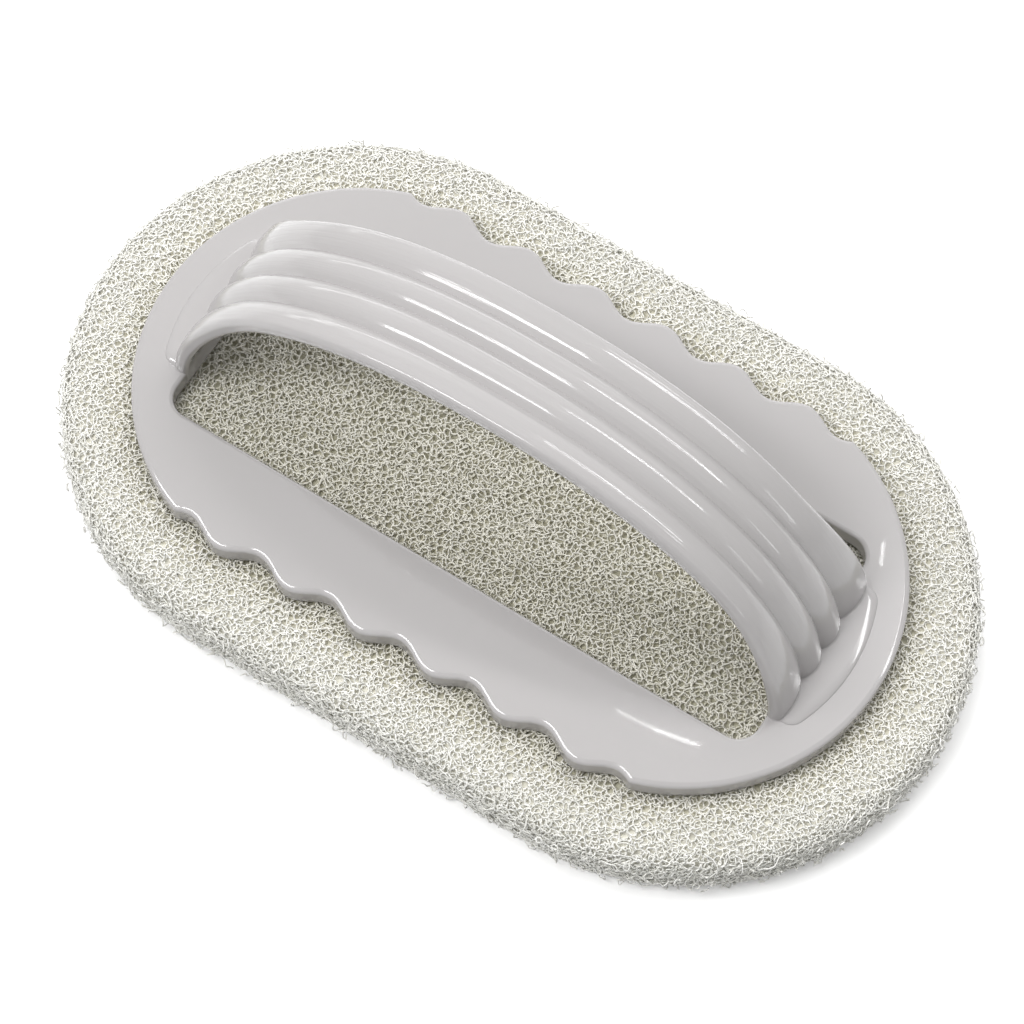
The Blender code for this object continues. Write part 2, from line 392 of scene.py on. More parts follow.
handle = {
    "plateThickness": 3.5 * mm,
    "rimBends": ((0.6 * mm, 29.0), (2.4 * mm, 17.0), (0.4 * mm, 0.0)),
    "undersideRadius": 0.3 * mm,
    "endEase": 0.3 * mm,
    "scallopPitch": 12.6 * mm,
    "scallopDepth": 2.3 * mm,
    "scallops": 6,
    "waveOverrunShare": 0.25,
    "railWidth": 15.45 * mm,
    "windowCorner": 3.6 * mm,
    "windowBends": ((0.5 * mm, 29.0), (1.6 * mm, 17.0), (0.4 * mm, 0.0)),
    "footInset": 9.1 * mm,
    "gripThickness": 2.8 * mm,
    "gripWidth": 20.7 * mm,
    "footWidth": 26.2 * mm,
    "footOverhang": 0.2 * mm,
    "lobeDepth": 1.15 * mm,
    "lobeOverreach": 1.2 * mm,
    "lobeWidth": 5.2 * mm,
    "lobeFootWidth": 5.6 * mm,
    "shoulderRadius": 1.2 * mm,
    "gripEdgeRadius": 0.8 * mm,
    "gripRise": 2.25,
    "gripFlat": 1.75,
    "flareStart": 0.75,
    "footCover": 1.0 * mm,
    "rootRadius": 0.25 * mm,
    "rootFadeStart": 1.6 * mm,
    "rootFadeEnd": 0.3 * mm,
    "rootSideShares": (-0.9, -0.5),
    "rootGrooveShare": 0.35,
    "rootGrooveMargin": 1.0 * mm,
    "landInset": 4.6 * mm,
    "landSideInset": 0.3 * mm,
    "landCorner": 2.5 * mm,
    "landHeight": 0.6 * mm,
    "landSink": 1.0 * mm,
    "landLap": 0.004 * mm,
    "landRootRadius": 0.15 * mm,
    "landRadius": 0.2 * mm,
    "landSlope": 70.0,
    "landCrownTurn": 34.0,
    "landFootReach": 0.45 * mm,
    "sharpAngle": 38.0,
    # Its plastic
    "color": (0.425, 0.411, 0.407),
    "cloudTint": (1.02, 1.02, 1.03),
    "cloudScale": 38.0,
    "roughness": 0.13,
    "roughnessSpread": 0.05,
    "refraction": 1.49,
    "coat": 0.35,
    "coatRoughness": 0.02,
    "speckScale": 900.0,
    "speckHeight": 0.0012 * mm,
    "markScale": 1.5 / mm,
    "markStretch": 0.02,
    "markHeight": 0.07 * mm,
    "markStart": 3.0 * mm,
    "markFull": 14.0 * mm,
}

plateLow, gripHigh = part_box("handle_moulding")
plateBottom = plateLow.z
plateTop = plateBottom + handle["plateThickness"]
plateHalfLength = gripHigh.x
plateHalfWidth = gripHigh.y
endRadius = plateHalfWidth + handle["endEase"]
endCenter = plateHalfLength - endRadius
footSpan = plateHalfLength - handle["footInset"]
footInner = footSpan - handle["gripThickness"]
windowHalfLength = footInner + handle["footOverhang"]
windowHalfWidth = plateHalfWidth - handle["railWidth"]
gripHeight = gripHigh.z - plateTop


def plateOutline():
    # Round ends, and long sides that wave once a pitch with a notch at x = 0
    pitch = handle["scallopPitch"]
    depth = handle["scallopDepth"]
    waveEnd = (handle["scallops"] / 2 + handle["waveOverrunShare"]) * pitch
    sideSteps, endSteps = 84, 96

    def halfWidthAt(x):
        wave = plateHalfWidth - depth * math.cos(math.pi * x / pitch) ** 2
        reach = abs(x) - endCenter
        if reach <= 0:
            return wave
        return min(wave, math.sqrt(max(endRadius**2 - reach**2, 0)))

    stops = [waveEnd * i / sideSteps for i in range(-sideSteps, sideSteps + 1)]
    side = [Vector((x, halfWidthAt(x))) for x in stops]
    last = math.atan2(side[-1].y, side[-1].x - endCenter)
    end = arcPoints(Vector((endCenter, 0)), endRadius, -last, last, endSteps)[1:-1]
    near = [Vector((point.x, -point.y)) for point in side]
    return near + end + side[::-1] + [-point for point in end]


def ringEdges(ring):
    edges = []
    for i, vert in enumerate(ring):
        after = ring[(i + 1) % len(ring)]
        edges.append(next(e for e in vert.link_edges if e.other_vert(vert) is after))
    return edges


def plateShape():
    bm = bmesh.new()
    underside = handle["undersideRadius"]
    edgeSteps, cornerSteps = 6, 12
    outer = addWall(bm, plateOutline(), plateBottom, plateTop, underside, handle["rimBends"], edgeSteps)
    window = roundedRectangle(windowHalfLength, windowHalfWidth, handle["windowCorner"], cornerSteps)
    window.reverse()
    inner = addWall(bm, window, plateBottom, plateTop, underside, handle["windowBends"], edgeSteps)
    for outerRing, innerRing in zip(outer, inner):
        edges = ringEdges(outerRing) + ringEdges(innerRing)
        bmesh.ops.triangle_fill(bm, edges=edges, use_beauty=True)
    bmesh.ops.recalc_face_normals(bm, faces=bm.faces)
    return addPiece("handleMoulding", bm)


def gripStations():
    # Places along the crest of the arch: (x, height over the plate, outward direction)
    raw = []
    samples = 2000
    for i in range(samples + 1):
        angle = math.pi * (i / samples - 0.5)
        x = footSpan * abs(math.sin(angle)) ** (2 / handle["gripRise"])
        z = gripHeight * max(math.cos(angle), 0) ** (2 / handle["gripFlat"])
        raw.append(Vector((math.copysign(x, angle), z)))
    sink = Vector((0, handle["footCover"] - handle["plateThickness"]))
    raw = [raw[0] + sink] + raw + [raw[-1] + sink]
    lengths = [0]
    for start, end in zip(raw, raw[1:]):
        lengths.append(lengths[-1] + (end - start).length)
    total = lengths[-1]
    # Close together over the first millimetres above the plate, and even elsewhere
    footLength = -sink.y + handle["landHeight"] + 3 * handle["rootRadius"]
    footSteps = 26
    middleSteps = 190
    targets = [footLength * i / footSteps for i in range(footSteps)]
    targets += [footLength + (total - 2 * footLength) * i / middleSteps for i in range(middleSteps + 1)]
    targets += [total - target for target in targets[footSteps - 1::-1]]
    stations = []
    index = 0
    for target in targets:
        while index < len(raw) - 2 and lengths[index + 1] < target:
            index += 1
        step = raw[index + 1] - raw[index]
        share = (target - lengths[index]) / step.length
        outward = Vector((-step.y, step.x)).normalized()
        stations.append((raw[index] + step * share, outward))
    return stations


def lobeArc(low, high, end, steps=12):
    # Points across one lobe, from its low edge as far as the end: (across, depth)
    middle = (low + high) / 2
    half = (high - low) / 2
    depth = handle["lobeDepth"]
    radius = (half**2 + depth**2) / (2 * depth)
    points = []
    for step in range(steps + 1):
        across = low + (end - low) * step / steps
        points.append(Vector((across, math.sqrt(radius**2 - (across - middle) ** 2) - radius)))
    return points


def gripSection(x):
    start = footSpan * handle["flareStart"]
    flare = max(0, min(1, (abs(x) - start) / (footSpan - start))) ** 2
    half = (handle["gripWidth"] + (handle["footWidth"] - handle["gripWidth"]) * flare) / 2
    groove = handle["lobeWidth"] + (handle["lobeFootWidth"] - handle["lobeWidth"]) * flare
    shoulder = handle["shoulderRadius"]
    edge = handle["gripEdgeRadius"]
    shoulderSteps, edgeSteps = 8, 6
    side = lobeArc(groove, half + handle["lobeOverreach"], half - shoulder)
    top = side[-1].y
    for angle in quarterTurn(shoulderSteps)[1:]:
        across = half - shoulder * (1 - math.sin(angle))
        side.append(Vector((across, top - shoulder * (1 - math.cos(angle)))))
    for angle in quarterTurn(edgeSteps):
        across = half - edge * (1 - math.cos(angle))
        side.append(Vector((across, -handle["gripThickness"] + edge * (1 - math.sin(angle)))))
    other = [Vector((-point.x, point.y)) for point in side[::-1]]
    inner = lobeArc(-groove, 0, 0)[1:] + lobeArc(0, groove, groove)[1:-1]
    return other + inner + side


def smoothStep(value, low, high):
    share = max(0, min(1, (value - low) / (high - low)))
    return share * share * (3 - 2 * share)


def rootOffset(height, across, depth):
    # How far the foot swells out where it meets the plate or the land
    radius = handle["rootRadius"]
    edge = handle["footWidth"] / 2
    fade = smoothStep(abs(across), edge - handle["rootFadeStart"], edge - handle["rootFadeEnd"])
    over = max(0, height - handle["landHeight"] * (1 - fade))
    if over >= radius:
        return 0
    swell = radius - math.sqrt(radius**2 - (radius - over) ** 2)
    low, high = (share * handle["gripThickness"] for share in handle["rootSideShares"])
    outside = smoothStep(depth, low, high)
    groove = smoothStep(-depth, handle["rootGrooveShare"] * handle["lobeDepth"], handle["lobeDepth"])
    if abs(across) > handle["lobeFootWidth"] + handle["rootGrooveMargin"]:
        groove = 0
    return swell * outside * (1 - groove)


def gripShape():
    bm = bmesh.new()
    rings = []
    for place, outward in gripStations():
        section = gripSection(place.x)
        count = len(section)
        ring = []
        for i, point in enumerate(section):
            along = section[(i + 1) % count] - section[i - 1]
            swell = rootOffset(place.y, point.x, point.y)
            across = point.x - along.y * swell / along.length
            depth = point.y + along.x * swell / along.length
            spot = place + outward * depth
            ring.append(bm.verts.new((spot.x, across, plateTop + spot.y)))
        rings.append(ring)
    for lower, upper in zip(rings, rings[1:]):
        joinRings(bm, lower, upper)
    bm.faces.new(rings[0][::-1])
    bm.faces.new(rings[-1])
    bmesh.ops.recalc_face_normals(bm, faces=bm.faces)
    return addPiece("gripShape", bm)


def landOutline(side):
    # Follows the plate's round end, turns in at two rounded corners, closes inside the foot
    radius = endRadius - handle["landInset"]
    corner = handle["landCorner"]
    halfChord = handle["footWidth"] / 2 - handle["landSideInset"]
    cornerY = halfChord - corner
    reach = math.sqrt((radius - corner) ** 2 - cornerY**2)
    spread = math.atan2(cornerY, reach)
    arcSteps, cornerSteps = 30, 12
    half = arcPoints(Vector((endCenter, 0)), radius, 0, spread, arcSteps)
    half += arcPoints(Vector((endCenter + reach, cornerY)), corner, spread, math.pi / 2, cornerSteps)[1:]
    half.append(Vector((footInner + handle["landFootReach"], halfChord)))
    points = [Vector((point.x, -point.y)) for point in half[:0:-1]] + half
    return [-point for point in points] if side < 0 else points


def landShape(side):
    # A hollow root that starts flat on the plate, then a rounded edge that ends in a flat crown
    slope = math.radians(handle["landSlope"])
    crownTurn = math.radians(handle["landCrownTurn"])
    root, edge = handle["landRootRadius"], handle["landRadius"]
    rootRise = root * (1 - math.cos(slope)) + edge * (math.cos(crownTurn) - math.cos(slope))
    crown = (handle["landHeight"] - rootRise) / (1 - math.cos(crownTurn))
    start = plateTop - handle["landLap"]
    levels = [(0.0, plateTop - handle["landSink"]), (0.0, start)]
    bends = ((root, 0, slope, 6), (edge, slope, crownTurn, 4), (crown, crownTurn, 0, 8))
    levels += bendLevels(0.0, start, bends)
    outside = root * math.sin(slope) / 2
    bm = bmesh.new()
    low, high = addRings(bm, landOutline(side), [(inset - outside, z) for inset, z in levels])
    bm.faces.new(low[::-1])
    bm.faces.new(high)
    bmesh.ops.recalc_face_normals(bm, faces=bm.faces)
    return addPiece("landShape", bm)


def unite(piece, shape):
    modifier = piece.modifiers.new("unite", "BOOLEAN")
    modifier.object = shape
    modifier.operation = "UNION"
    modifier.solver = "EXACT"
    keepEvaluated(piece)
    bpy.data.objects.remove(shape, do_unlink=True)


def keepEvaluated(piece):
    # The piece's evaluated mesh becomes its own, without modifiers
    depsgraph = bpy.context.evaluated_depsgraph_get()
    mesh = bpy.data.meshes.new_from_object(piece.evaluated_get(depsgraph), depsgraph=depsgraph)
    piece.modifiers.clear()
    piece.data = mesh


def mouldedPlastic():
    material, make, inputs = startMaterial("mouldedPlastic")
    place = make.node("ShaderNodeTexCoord", out="Object")
    cloud = make.noise(place, handle["cloudScale"])
    speck = make.noise(place, handle["speckScale"])
    plain = handle["color"]
    tinted = [shade * change for shade, change in zip(plain, handle["cloudTint"])]
    make.feed(inputs["Base Color"], make.mixed(cloud, (*plain, 1.0), (*tinted, 1.0)))
    make.feed(inputs["Roughness"], handle["roughness"] + (cloud - 0.5) * handle["roughnessSpread"])
    make.feed(inputs["IOR"], handle["refraction"])
    make.feed(inputs["Coat Weight"], handle["coat"])
    make.feed(inputs["Coat Roughness"], handle["coatRoughness"])
    # Fine drag marks run along the grip and fade out towards the plate
    x, y, z = make.parts(place)
    stretch = handle["markStretch"]
    marks = make.noise(make.combined(x * stretch, y, z * stretch), handle["markScale"])
    low, high = plateTop + handle["markStart"], plateTop + handle["markFull"]
    height = speck * handle["speckHeight"] + marks * make.mapped(z, low, high) * handle["markHeight"]
    make.feed(inputs["Normal"], make.node("ShaderNodeBump", None, {"Height": height, "Distance": 1.0}))
    return material


def buildHandle():
    piece = plateShape()
    unite(piece, gripShape())
    unite(piece, landShape(1))
    unite(piece, landShape(-1))
    piece.data.materials.clear()
    piece.data.materials.append(mouldedPlastic())
    piece.data.shade_smooth()
    piece.data.set_sharp_from_angle(angle=math.radians(handle["sharpAngle"]))
    weighted = piece.modifiers.new("weighted", "WEIGHTED_NORMAL")
    weighted.keep_sharp = True
    weighted.weight = 100
    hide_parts("handle_moulding")
    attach(piece, "handle")


buildHandle()
print("handle moulding done")


# Geometry Nodes trees

def startTree(name, sizes):
    # A tree with a named input for each size
    tree = bpy.data.node_groups.new(name, "GeometryNodeTree")
    tree.interface.new_socket("Geometry", in_out="INPUT", socket_type="NodeSocketGeometry")
    for size in sizes:
        tree.interface.new_socket(size, in_out="INPUT", socket_type="NodeSocketFloat")
    tree.interface.new_socket("Geometry", in_out="OUTPUT", socket_type="NodeSocketGeometry")
    make = Maker(tree)
    return make, make.node("NodeGroupInput")


def finishTree(make, geometry, material):
    solid = make.node("GeometryNodeRealizeInstances", None, {"Geometry": geometry})
    dressed = make.node("GeometryNodeSetMaterial", None, {"Geometry": solid, "Material": material})
    make.node("NodeGroupOutput", None, {"Geometry": dressed})
    return make.tree


def growTree(piece, tree, sizes):
    # Runs the tree on the piece once and keeps the mesh that it gives
    modifier = piece.modifiers.new(tree.name, "NODES")
    modifier.node_group = tree
    for item in tree.interface.items_tree:
        if item.item_type == "SOCKET" and item.in_out == "INPUT" and item.name in sizes:
            modifier[item.identifier] = sizes[item.name]
    keepEvaluated(piece)


# Fibre pad: nets of cells and curls of bonded fibre over a dark sheet of painted shade

web = {
    # Place on the palette and color: outermost strands, deeper ones painted darker as painted shade, the
    # dark sheet of painted shade under them
    "palette": (
        (0.0, (0.94, 0.935, 0.90)),
        (0.3, (0.90, 0.885, 0.83)),
        (0.7, (0.74, 0.715, 0.60)),
        (0.93, (0.52, 0.50, 0.39)),
    ),
    "tint": (0.94, 0.94, 0.92),
    "roughness": 0.55,
    "roughnessSpread": 0.1,
    "edgeRadius": 3.0 * mm,
    "shadeSheetDepth": 1.0 * mm,
    "shadeSheetCell": 2.5 * mm,
    "undersideCell": 2.2 * mm,
    "undersideLap": 1.0 * mm,
    "undersideShare": 0.5,
    "roundSteps": 36,
    "rowShare": 0.866,
    "unevenness": 0.36,
    "longestEdgeCells": 4,
    "seedDensity": 6 / mm**2,
    "fuzzFacing": (0.75, 0.97),
    "undersideFacing": (-0.95, -0.6),
    "curlSpread": (0.7, 1.3),
    "longCurlSpread": (0.6, 2.2),
    "curlLengthShares": (4.2, 6.1),
    "longCurlLength": (2.2 * mm, 4.6 * mm),
    "thicknessSpread": (0.8, 1.25),
    # A little more than half the thickness, because three sides fill less than a circle
    "tubeRadiusShare": 0.56,
    "strandShift": (0.013, 0.029, 0.017),
    "driftScale": 0.75 / mm,
    "swayShift": (7.3, 1.1, 4.7),
    "swayScale": 0.6 / mm,
    "noiseDetail": 1.0,
    "noiseGain": 4,
    "tapePress": 0.62 * mm,
    "pressEdge": (0.2 * mm, 1.2 * mm),
    "floorGap": 0.12 * mm,
    "deepestShare": 0.85,
    "paleFrom": 33.0 * mm,
    "paleFull": 39.0 * mm,
    "paleShare": 0.5,
    "coverShade": 0.38,
    # Each triangle covers a little of the palette, whose margin stays free
    "paletteMargin": 0.02,
    "paletteSpan": 0.95,
    "tintStep": 0.004,
    "depthStep": 0.006,
    "shadeSheetPlace": (0.5, 0.955),
    "shadeSheetStep": 0.01,
    # The sizes that the layers share, then what differs between them from the outside in
    "sizes": {
        "Fibre Thickness": 0.25 * mm,
        "Curl Radius": 0.56 * mm,
        "Long Curl Radius": 1.6 * mm,
        "Long Share": 0.5,
        "Bow": 0.52 * mm,
        "Wander": 0.16 * mm,
        "Weave Depth": 0.15 * mm,
        "Least Depth": 0.05 * mm,
    },
    "layers": (
        # kind, seed, points on a strand, cell or least distance between curls, depth, other sizes
        ("net", 7, 4, 1.22 * mm, 0.14 * mm, {}),
        ("curls", 8, 8, 1.7 * mm, 0.32 * mm, {"Fibre Thickness": 0.22 * mm}),
        ("net", 9, 2, 1.15 * mm, 0.48 * mm, {}),
        ("fuzz", 10, 9, 1.7 * mm, -0.12 * mm,
         {"Weave Depth": 0.75 * mm, "Least Depth": -0.95 * mm, "Fibre Thickness": 0.22 * mm}),
    ),
}

padLow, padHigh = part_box("scrub_pad")
spineHalfLength = padHigh.x - padHigh.y
tapeNames = (
    "hook_tape_left_side",
    "hook_tape_right_side",
    "hook_tape_front_end",
    "hook_tape_back_end",
)


def webShell():
    # The pad's outer form, which carries the curls
    outline = stadium(padHigh.x, padHigh.y, web["roundSteps"])
    edgeSteps = 5
    return slab(outline, padLow.z, padHigh.z, web["edgeRadius"], web["edgeRadius"], edgeSteps)


def foldOver(point, flip):
    # A point of the flat sheet laid over the pad's top, round its edge, down its side and under it
    radius = web["edgeRadius"]
    middle = Vector((max(-spineHalfLength, min(spineHalfLength, point.x)), 0))
    outward = point - middle
    flat = padHigh.y - radius
    arc = radius * math.pi / 2
    wall = padHigh.z - padLow.z - 2 * radius
    reach = outward.length
    if reach > 0:
        outward = outward / reach
    past = reach - flat
    across, down = reach, 0.0
    if past > 2 * arc + wall:
        across, down = flat - (past - 2 * arc - wall), 2 * radius + wall
    elif past > arc + wall:
        angle = math.pi / 2 + (past - arc - wall) / radius
        across, down = flat + radius * math.sin(angle), wall + radius * (1 - math.cos(angle))
    elif past > arc:
        across, down = padHigh.y, radius + past - arc
    elif past > 0:
        angle = past / radius
        across, down = flat + radius * math.sin(angle), radius * (1 - math.cos(angle))
    spot = middle + outward * across
    return Vector((spot.x, spot.y, padLow.z + down if flip else padHigh.z - down))


def addSheet(bm, cell, seed, reach, flip):
    # Uneven triangles: the net's cells stand round their corners
    chance = random.Random(seed)
    stray = web["unevenness"] * cell
    points = []
    rows = math.ceil(reach / (cell * web["rowShare"]))
    columns = math.ceil((spineHalfLength + reach) / cell)
    for row in range(-rows, rows + 1):
        for column in range(-columns, columns + 1):
            x = (column + row % 2 / 2) * cell + chance.uniform(-stray, stray)
            y = row * cell * web["rowShare"] + chance.uniform(-stray, stray)
            if math.hypot(max(abs(x) - spineHalfLength, 0), y) < reach:
                points.append(Vector((x, y)))
    corners, _, faces, *_ = delaunay_2d_cdt(points, [], [], 0, 1e-7)
    verts = [bm.verts.new(foldOver(corner, flip)) for corner in corners]
    longest = web["longestEdgeCells"] * cell
    for face in faces:
        spots = [verts[i] for i in (face[::-1] if flip else face)]
        if max((a.co - b.co).length for a, b in zip(spots, spots[1:] + spots[:1])) < longest:
            bm.faces.new(spots)


def netSheet(cell, seed):
    # A fine sheet over the top and the sides, and a coarser one below that laps under its edge
    bm = bmesh.new()
    radius = web["edgeRadius"]
    around = padHigh.y - radius + math.pi * radius + padHigh.z - padLow.z - 2 * radius
    addSheet(bm, cell, seed, around, False)
    under = padHigh.y - radius + web["undersideLap"]
    addSheet(bm, web["undersideCell"], seed + 50, under, True)
    return bm


def webTree(material, kind, seed, count):
    make, entry = startTree("fibreWeb", (*web["sizes"], "Layer Depth", "Seed Distance"))

    def size(name):
        return make.other(entry, name)

    def named(attribute, name):
        return make.node("GeometryNodeInputNamedAttribute", {"data_type": attribute}, {"Name": name})

    def store(attribute, geometry, name, value, domain="POINT"):
        settings = {"data_type": attribute, "domain": domain}
        sockets = {"Geometry": geometry, "Name": name, "Value": value}
        return make.node("GeometryNodeStoreNamedAttribute", settings, sockets)

    here = make.node("GeometryNodeInputPosition")
    factor = make.node("GeometryNodeSplineParameter", out="Factor")

    def netStrands():
        # The sheet's dual is a net of cells. Each of its edges is a strand, bowed a little.
        dual = make.node("GeometryNodeDualMesh", None, {"Mesh": entry})
        edges = make.node("GeometryNodeMeshToCurve", None, {"Mesh": dual})
        numbered = store("INT", edges, "strand", make.node("GeometryNodeInputIndex"), "CURVE")
        strands = make.node("GeometryNodeResampleCurve", None, {"Curve": numbered, "Count": count})
        number = named("INT", "strand")
        push = make.combined(*[make.chance(-1, 1, number, i) for i in range(3)])
        arch = factor * (1 - factor) * 4
        return strands, make.vector("ADD", here, make.scaled(push, size("Bow") * arch)), 0.0

    def curlStrands():
        # One straight strand on each seed, rolled up by its own random numbers
        *_, facing = make.parts(make.node("GeometryNodeInputNormal"))
        share = make.mapped(facing, *web["undersideFacing"], web["undersideShare"], 1.0)
        if kind == "fuzz":
            share = make.mapped(facing.absolute(), *web["fuzzFacing"], 1.0, 0.0)
        seeds = make.node(
            "GeometryNodeDistributePointsOnFaces", {"distribute_method": "POISSON"},
            {"Mesh": entry, "Distance Min": size("Seed Distance"), "Density Max": web["seedDensity"],
             "Density Factor": share, "Seed": seed},
        )
        marked = store("FLOAT_VECTOR", seeds, "center", here)
        marked = store("QUATERNION", marked, "turn", make.other(seeds, "Rotation"))
        marked = store("INT", marked, "strand", make.node("GeometryNodeInputIndex"))
        line = make.node("GeometryNodeCurvePrimitiveLine")
        strand = make.node("GeometryNodeResampleCurve", None, {"Curve": line, "Count": count})
        strands = make.node("GeometryNodeInstanceOnPoints", None, {"Points": marked, "Instance": strand})
        strands = make.node("GeometryNodeRealizeInstances", None, {"Geometry": strands})
        number = named("INT", "strand")
        isLong = 1 - make.chance(0, 1, number, 1).over(size("Long Share"))
        short = size("Curl Radius") * make.chance(*web["curlSpread"], number, 2)
        far = size("Long Curl Radius") * make.chance(*web["longCurlSpread"], number, 3)
        bend = short + isLong * (far - short)
        shortReach = short * make.chance(*web["curlLengthShares"], number, 4)
        reach = shortReach + isLong * (make.chance(*web["longCurlLength"], number, 5) - shortReach)
        flip = 1 - 2 * make.chance(0, 1, number, 6).over(0.5)
        spin = make.chance(0, 2 * math.pi, number, 7)
        angle = spin + (factor - 0.5) * reach / bend * flip
        x = bend * flip * (angle.sine() - spin.sine())
        y = bend * flip * (spin.cosine() - angle.cosine())
        turned = make.node(
            "FunctionNodeRotateVector", None,
            {"Vector": make.combined(x, y), "Rotation": named("QUATERNION", "turn")},
        )
        return strands, make.vector("ADD", named("FLOAT_VECTOR", "center"), turned), 1.0

    strands, place, own = netStrands() if kind == "net" else curlStrands()
    number = named("INT", "strand")

    # Wander sideways, then onto the shell, over and under each other
    offset = make.vector("ADD", place, make.scaled(web["strandShift"], number * own))
    drift = make.noise(offset, web["driftScale"], web["noiseDetail"], "Color")
    drift = make.vector("SUBTRACT", drift, (0.5, 0.5, 0.5))
    place = make.vector("ADD", place, make.scaled(drift, size("Wander") * web["noiseGain"]))
    nearest = make.node(
        "GeometryNodeProximity", {"target_element": "FACES"}, {0: entry, "Sample Position": place}
    )
    normal = make.node(
        "GeometryNodeSampleNearestSurface", {"data_type": "FLOAT_VECTOR"},
        {"Mesh": entry, "Value": make.node("GeometryNodeInputNormal"), "Sample Position": place},
    )
    sway = make.noise(make.vector("ADD", offset, web["swayShift"]), web["swayScale"], web["noiseDetail"])
    weave = make.chance(-0.5, 0.5, number, 10) * own + (sway - 0.5) * web["noiseGain"]
    depth = (size("Layer Depth") + weave * size("Weave Depth")).maximum(size("Least Depth"))
    strands = make.node(
        "GeometryNodeSetPosition", None,
        {"Geometry": strands, "Position": make.vector("SUBTRACT", nearest, make.scaled(normal, depth))},
    )

    # Pressed in where the tapes hold the pad, the strands on top more than those near the dark sheet of
    # painted shade
    x, y, z = make.parts(here)
    pressed = 0.0
    for name in tapeNames:
        low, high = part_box(name)
        middle, half = (low + high) / 2, (high - low) / 2
        out = ((x - middle.x).absolute() - half.x).maximum((y - middle.y).absolute() - half.y)
        pressed = make.mapped(out, *web["pressEdge"], 1.0, 0.0) + pressed
    shadeSheetTop = padHigh.z - web["shadeSheetDepth"]
    share = ((z - shadeSheetTop) / web["shadeSheetDepth"]).maximum(0.0)
    drop = make.combined(z=pressed * share * -web["tapePress"])
    strands = make.node("GeometryNodeSetPosition", None, {"Geometry": strands, "Offset": drop})
    # Nothing hangs under the pad's rest face
    lift = make.combined(z=(padLow.z + web["floorGap"] - z).maximum(0.0))
    strands = make.node("GeometryNodeSetPosition", None, {"Geometry": strands, "Offset": lift})

    # The palette place of each strand: its tint across, its painted shade up. The deeper a strand lies,
    # the darker it is painted.
    # It is painted darker near the plate and grip as their painted shade, and paler near the pad's edge
    # and under it as painted light.
    pastSpine = (x.absolute() - spineHalfLength).maximum(0.0)
    fromSpine = make.combined(pastSpine, y)
    fromSpine = make.node("ShaderNodeVectorMath", {"operation": "LENGTH"}, {0: fromSpine}, out="Value")
    fromSpine = fromSpine.maximum((1 - z.over(padHigh.z / 2)) * web["paleFull"])
    pale = make.mapped(fromSpine, web["paleFrom"], web["paleFull"], 1.0, 1 - web["paleShare"])
    strands = store("FLOAT", strands, "tint", make.chance(0.0, 1.0, number, 11))
    # Painted shade where the plate and grip stand over the pad's top
    handleShade = make.mapped(fromSpine, web["paleFrom"], web["paleFull"], web["coverShade"], 0.0)
    deepest = web["deepestShare"] - web["coverShade"]
    deepness = make.mapped(depth, 0.0, web["shadeSheetDepth"], 0.0, deepest) * pale + handleShade
    strands = store("FLOAT", strands, "deepness", deepness)
    order = make.node("GeometryNodeSplineParameter", out="Index")
    strands = store("FLOAT", strands, "odd", order.modulo(2.0))
    radius = make.chance(*web["thicknessSpread"], number, 12)
    strands = make.node("GeometryNodeSetCurveRadius", None, {"Curve": strands, "Radius": radius})
    radius = size("Fibre Thickness") * web["tubeRadiusShare"]
    profile = make.node("GeometryNodeCurvePrimitiveCircle", None, {"Resolution": 3, "Radius": radius})
    profile = store("FLOAT", profile, "around", make.node("GeometryNodeSplineParameter", out="Index"))
    tubes = make.node(
        "GeometryNodeCurveToMesh", None, {"Curve": strands, "Profile Curve": profile, "Fill Caps": True}
    )
    margin, span = web["paletteMargin"], web["paletteSpan"]
    u = margin + named("FLOAT", "tint") * span + named("FLOAT", "around") * web["tintStep"]
    v = margin + named("FLOAT", "deepness") * span + named("FLOAT", "odd") * web["depthStep"]
    tubes = store("FLOAT2", tubes, "OFBake", make.combined(u, v), "CORNER")
    tubes = make.node("GeometryNodeSetShadeSmooth", None, {"Geometry": tubes, "Shade Smooth": True})
    return finishTree(make, tubes, material)


def webFibre():
    material, make, inputs = startMaterial("webFibre")
    tint, deepness, _ = make.parts(make.node("ShaderNodeUVMap", {"uv_map": "OFBake"}))
    # The palette turns darker with the painted shade that each strand carries
    color = make.node("ShaderNodeValToRGB", {"stops": web["palette"]}, {"Fac": deepness})
    make.feed(inputs["Base Color"], make.mixed(tint, color, (*web["tint"], 1.0), "MULTIPLY"))
    make.feed(inputs["Roughness"], web["roughness"] + (tint - 0.5) * web["roughnessSpread"])
    return material


def buildPad():
    material = webFibre()
    layers = []
    for kind, seed, count, spacing, depth, others in web["layers"]:
        layer = addPiece("fibrePad", netSheet(spacing, seed) if kind == "net" else webShell())
        layer.data.shade_smooth()
        sizes = {**web["sizes"], "Layer Depth": depth, "Seed Distance": spacing, **others}
        growTree(layer, webTree(material, kind, seed, count), sizes)
        layers.append(layer)
    layers.append(shadeSheetShape(material))
    piece = joinPieces(layers)
    keep = ("position", "OFBake", "sharp_face", "material_index")
    for name in [layer.name for layer in piece.data.attributes if layer.name not in keep]:
        spare = piece.data.attributes[name]
        if not spare.is_required and not spare.is_internal:
            piece.data.attributes.remove(spare)
    print("fibre pad triangles:", len(piece.data.loops) - 2 * len(piece.data.polygons))
    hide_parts("scrub_pad")
    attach(piece, "pad")


def joinPieces(pieces):
    bpy.ops.object.select_all(action="DESELECT")
    for piece in pieces:
        piece.select_set(True)
    bpy.context.view_layer.objects.active = pieces[0]
    bpy.ops.object.join()
    return pieces[0]


